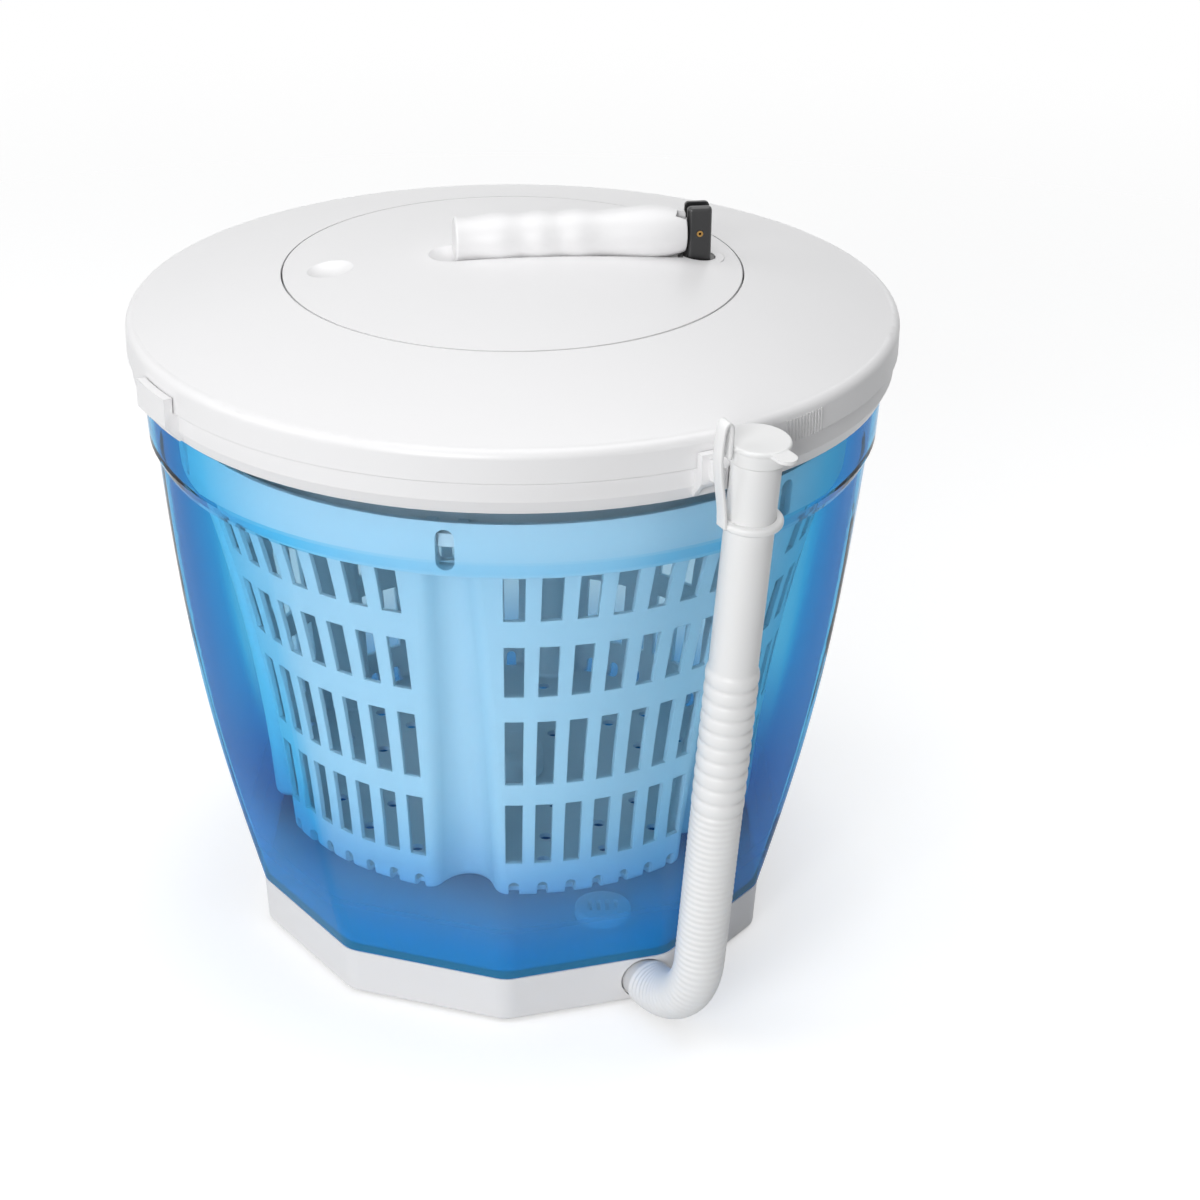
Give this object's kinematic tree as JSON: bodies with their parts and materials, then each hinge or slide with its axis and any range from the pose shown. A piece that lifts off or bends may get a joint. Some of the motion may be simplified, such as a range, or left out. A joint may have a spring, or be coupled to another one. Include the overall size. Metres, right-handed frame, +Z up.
{
  "type": "manual washing machine",
  "caption": "Hand-crank tabletop washing machine: clear faceted tub with a fluted spin basket, domed lid with a geared crank and folding grip, and a capped ribbed drain hose.",
  "frame": {"origin": "on the floor, under the middle of the base, where the centre foot pad rests", "axes": "+Z up along the crank and basket axis, -Y towards the front of the picture, +X to the right of it"},
  "size_m": [0.344, 0.3577, 0.345],
  "materials": {
    "clear_blue": "clear tinted",
    "white_shell": "gloss",
    "white_inner": "matte",
    "hose_white": "satin",
    "pale_blue": "satin",
    "gear_plastic": "matte",
    "black_plastic": "satin",
    "steel": "plated",
    "brass": "polished",
    "rubber": "matte"
  },
  "bodies": {
    "tub": {"tub": "clear_blue", "tub_collar": "white_shell", "base_shell": "white_shell", "base_plate": "white_inner", "base_screws": "steel", "foot_pads": "rubber", "pivot_pin": "steel", "pivot_nut": "steel", "pivot_seal": "rubber", "thrust_washer": "gear_plastic", "drain_spout": "white_inner", "drain_gasket": "rubber", "drain_strainer": "white_inner", "hose_bellows": "hose_white"},
    "basket": {"basket": "pale_blue", "basket_bush": "gear_plastic"},
    "lid": {"lid": "white_shell", "lid_seal": "rubber", "gear_plate": "white_inner", "gear_plate_screws": "steel", "planet_axles": "steel", "planet_clips": "steel", "drive_bush": "gear_plastic"},
    "drive": {"sun_gear": "gear_plastic", "drive_plate": "white_inner", "drive_screws": "steel"},
    "planet_1": {"planet_gear_1": "gear_plastic"},
    "planet_2": {"planet_gear_2": "gear_plastic"},
    "planet_3": {"planet_gear_3": "gear_plastic"},
    "crank": {"crank_disc": "white_shell", "ring_gear": "gear_plastic", "ring_gear_screws": "steel", "crank_spindle": "steel", "spindle_clip": "steel", "handle_bush": "black_plastic", "handle_knuckle": "black_plastic", "knuckle_retainer": "steel", "hinge_pin": "brass"},
    "grip": {"grip": "white_shell", "grip_cap": "white_shell"},
    "hose": {"hose_tube": "hose_white", "cap_ring": "hose_white", "cap_strap": "hose_white"},
    "cap": {"hose_cap": "hose_white"}
  },
  "joints": [
    {"name": "crank_turn", "type": "hinge", "parent": "lid", "child": "crank", "pos_m": [0, 0, 0.31], "axis": [0, 0, 1], "continuous": true},
    {"name": "lid_lift", "type": "slide", "parent": "tub", "child": "lid", "axis": [0, 0, 1], "range_m": [0, 0.25]},
    {"name": "grip_fold", "type": "hinge", "parent": "crank", "child": "grip", "pos_m": [0.08235, 0.0104, 0.333], "axis": [-0.1253, 0.9921, 0], "range_deg": [0, 90]},
    {"name": "planet_1_turn", "type": "hinge", "parent": "lid", "child": "planet_1", "pos_m": [0.01688, 0.02923, 0.31], "axis": [0, 0, 1], "continuous": true},
    {"name": "planet_2_turn", "type": "hinge", "parent": "lid", "child": "planet_2", "pos_m": [-0.03375, 0, 0.31], "axis": [0, 0, 1], "continuous": true},
    {"name": "planet_3_turn", "type": "hinge", "parent": "lid", "child": "planet_3", "pos_m": [0.01688, -0.02923, 0.31], "axis": [0, 0, 1], "continuous": true},
    {"name": "drive_turn", "type": "hinge", "parent": "lid", "child": "drive", "pos_m": [0, 0, 0.29], "axis": [0, 0, 1], "continuous": true},
    {"name": "basket_turn", "type": "hinge", "parent": "tub", "child": "basket", "pos_m": [0, 0, 0.06], "axis": [0, 0, 1], "continuous": true},
    {"name": "hose_swing", "type": "hinge", "parent": "tub", "child": "hose", "pos_m": [0.08311, -0.14395, 0.06], "axis": [0.866, 0.5, 0], "range_deg": [0, 75], "deforming": ["hose_bellows"]},
    {"name": "cap_open", "type": "hinge", "parent": "hose", "child": "cap", "pos_m": [0.08311, -0.17495, 0.29927], "axis": [0.4969, -0.8606, -0.1115], "range_deg": [0, 110], "deforming": ["cap_strap"]}
  ],
  "couplings": [
    {"joint": "planet_1_turn", "follows": "crank_turn", "ratio": 2.6667},
    {"joint": "planet_2_turn", "follows": "crank_turn", "ratio": 2.6667},
    {"joint": "planet_3_turn", "follows": "crank_turn", "ratio": 2.6667},
    {"joint": "drive_turn", "follows": "crank_turn", "ratio": -4},
    {"joint": "basket_turn", "follows": "crank_turn", "ratio": -4}
  ]
}
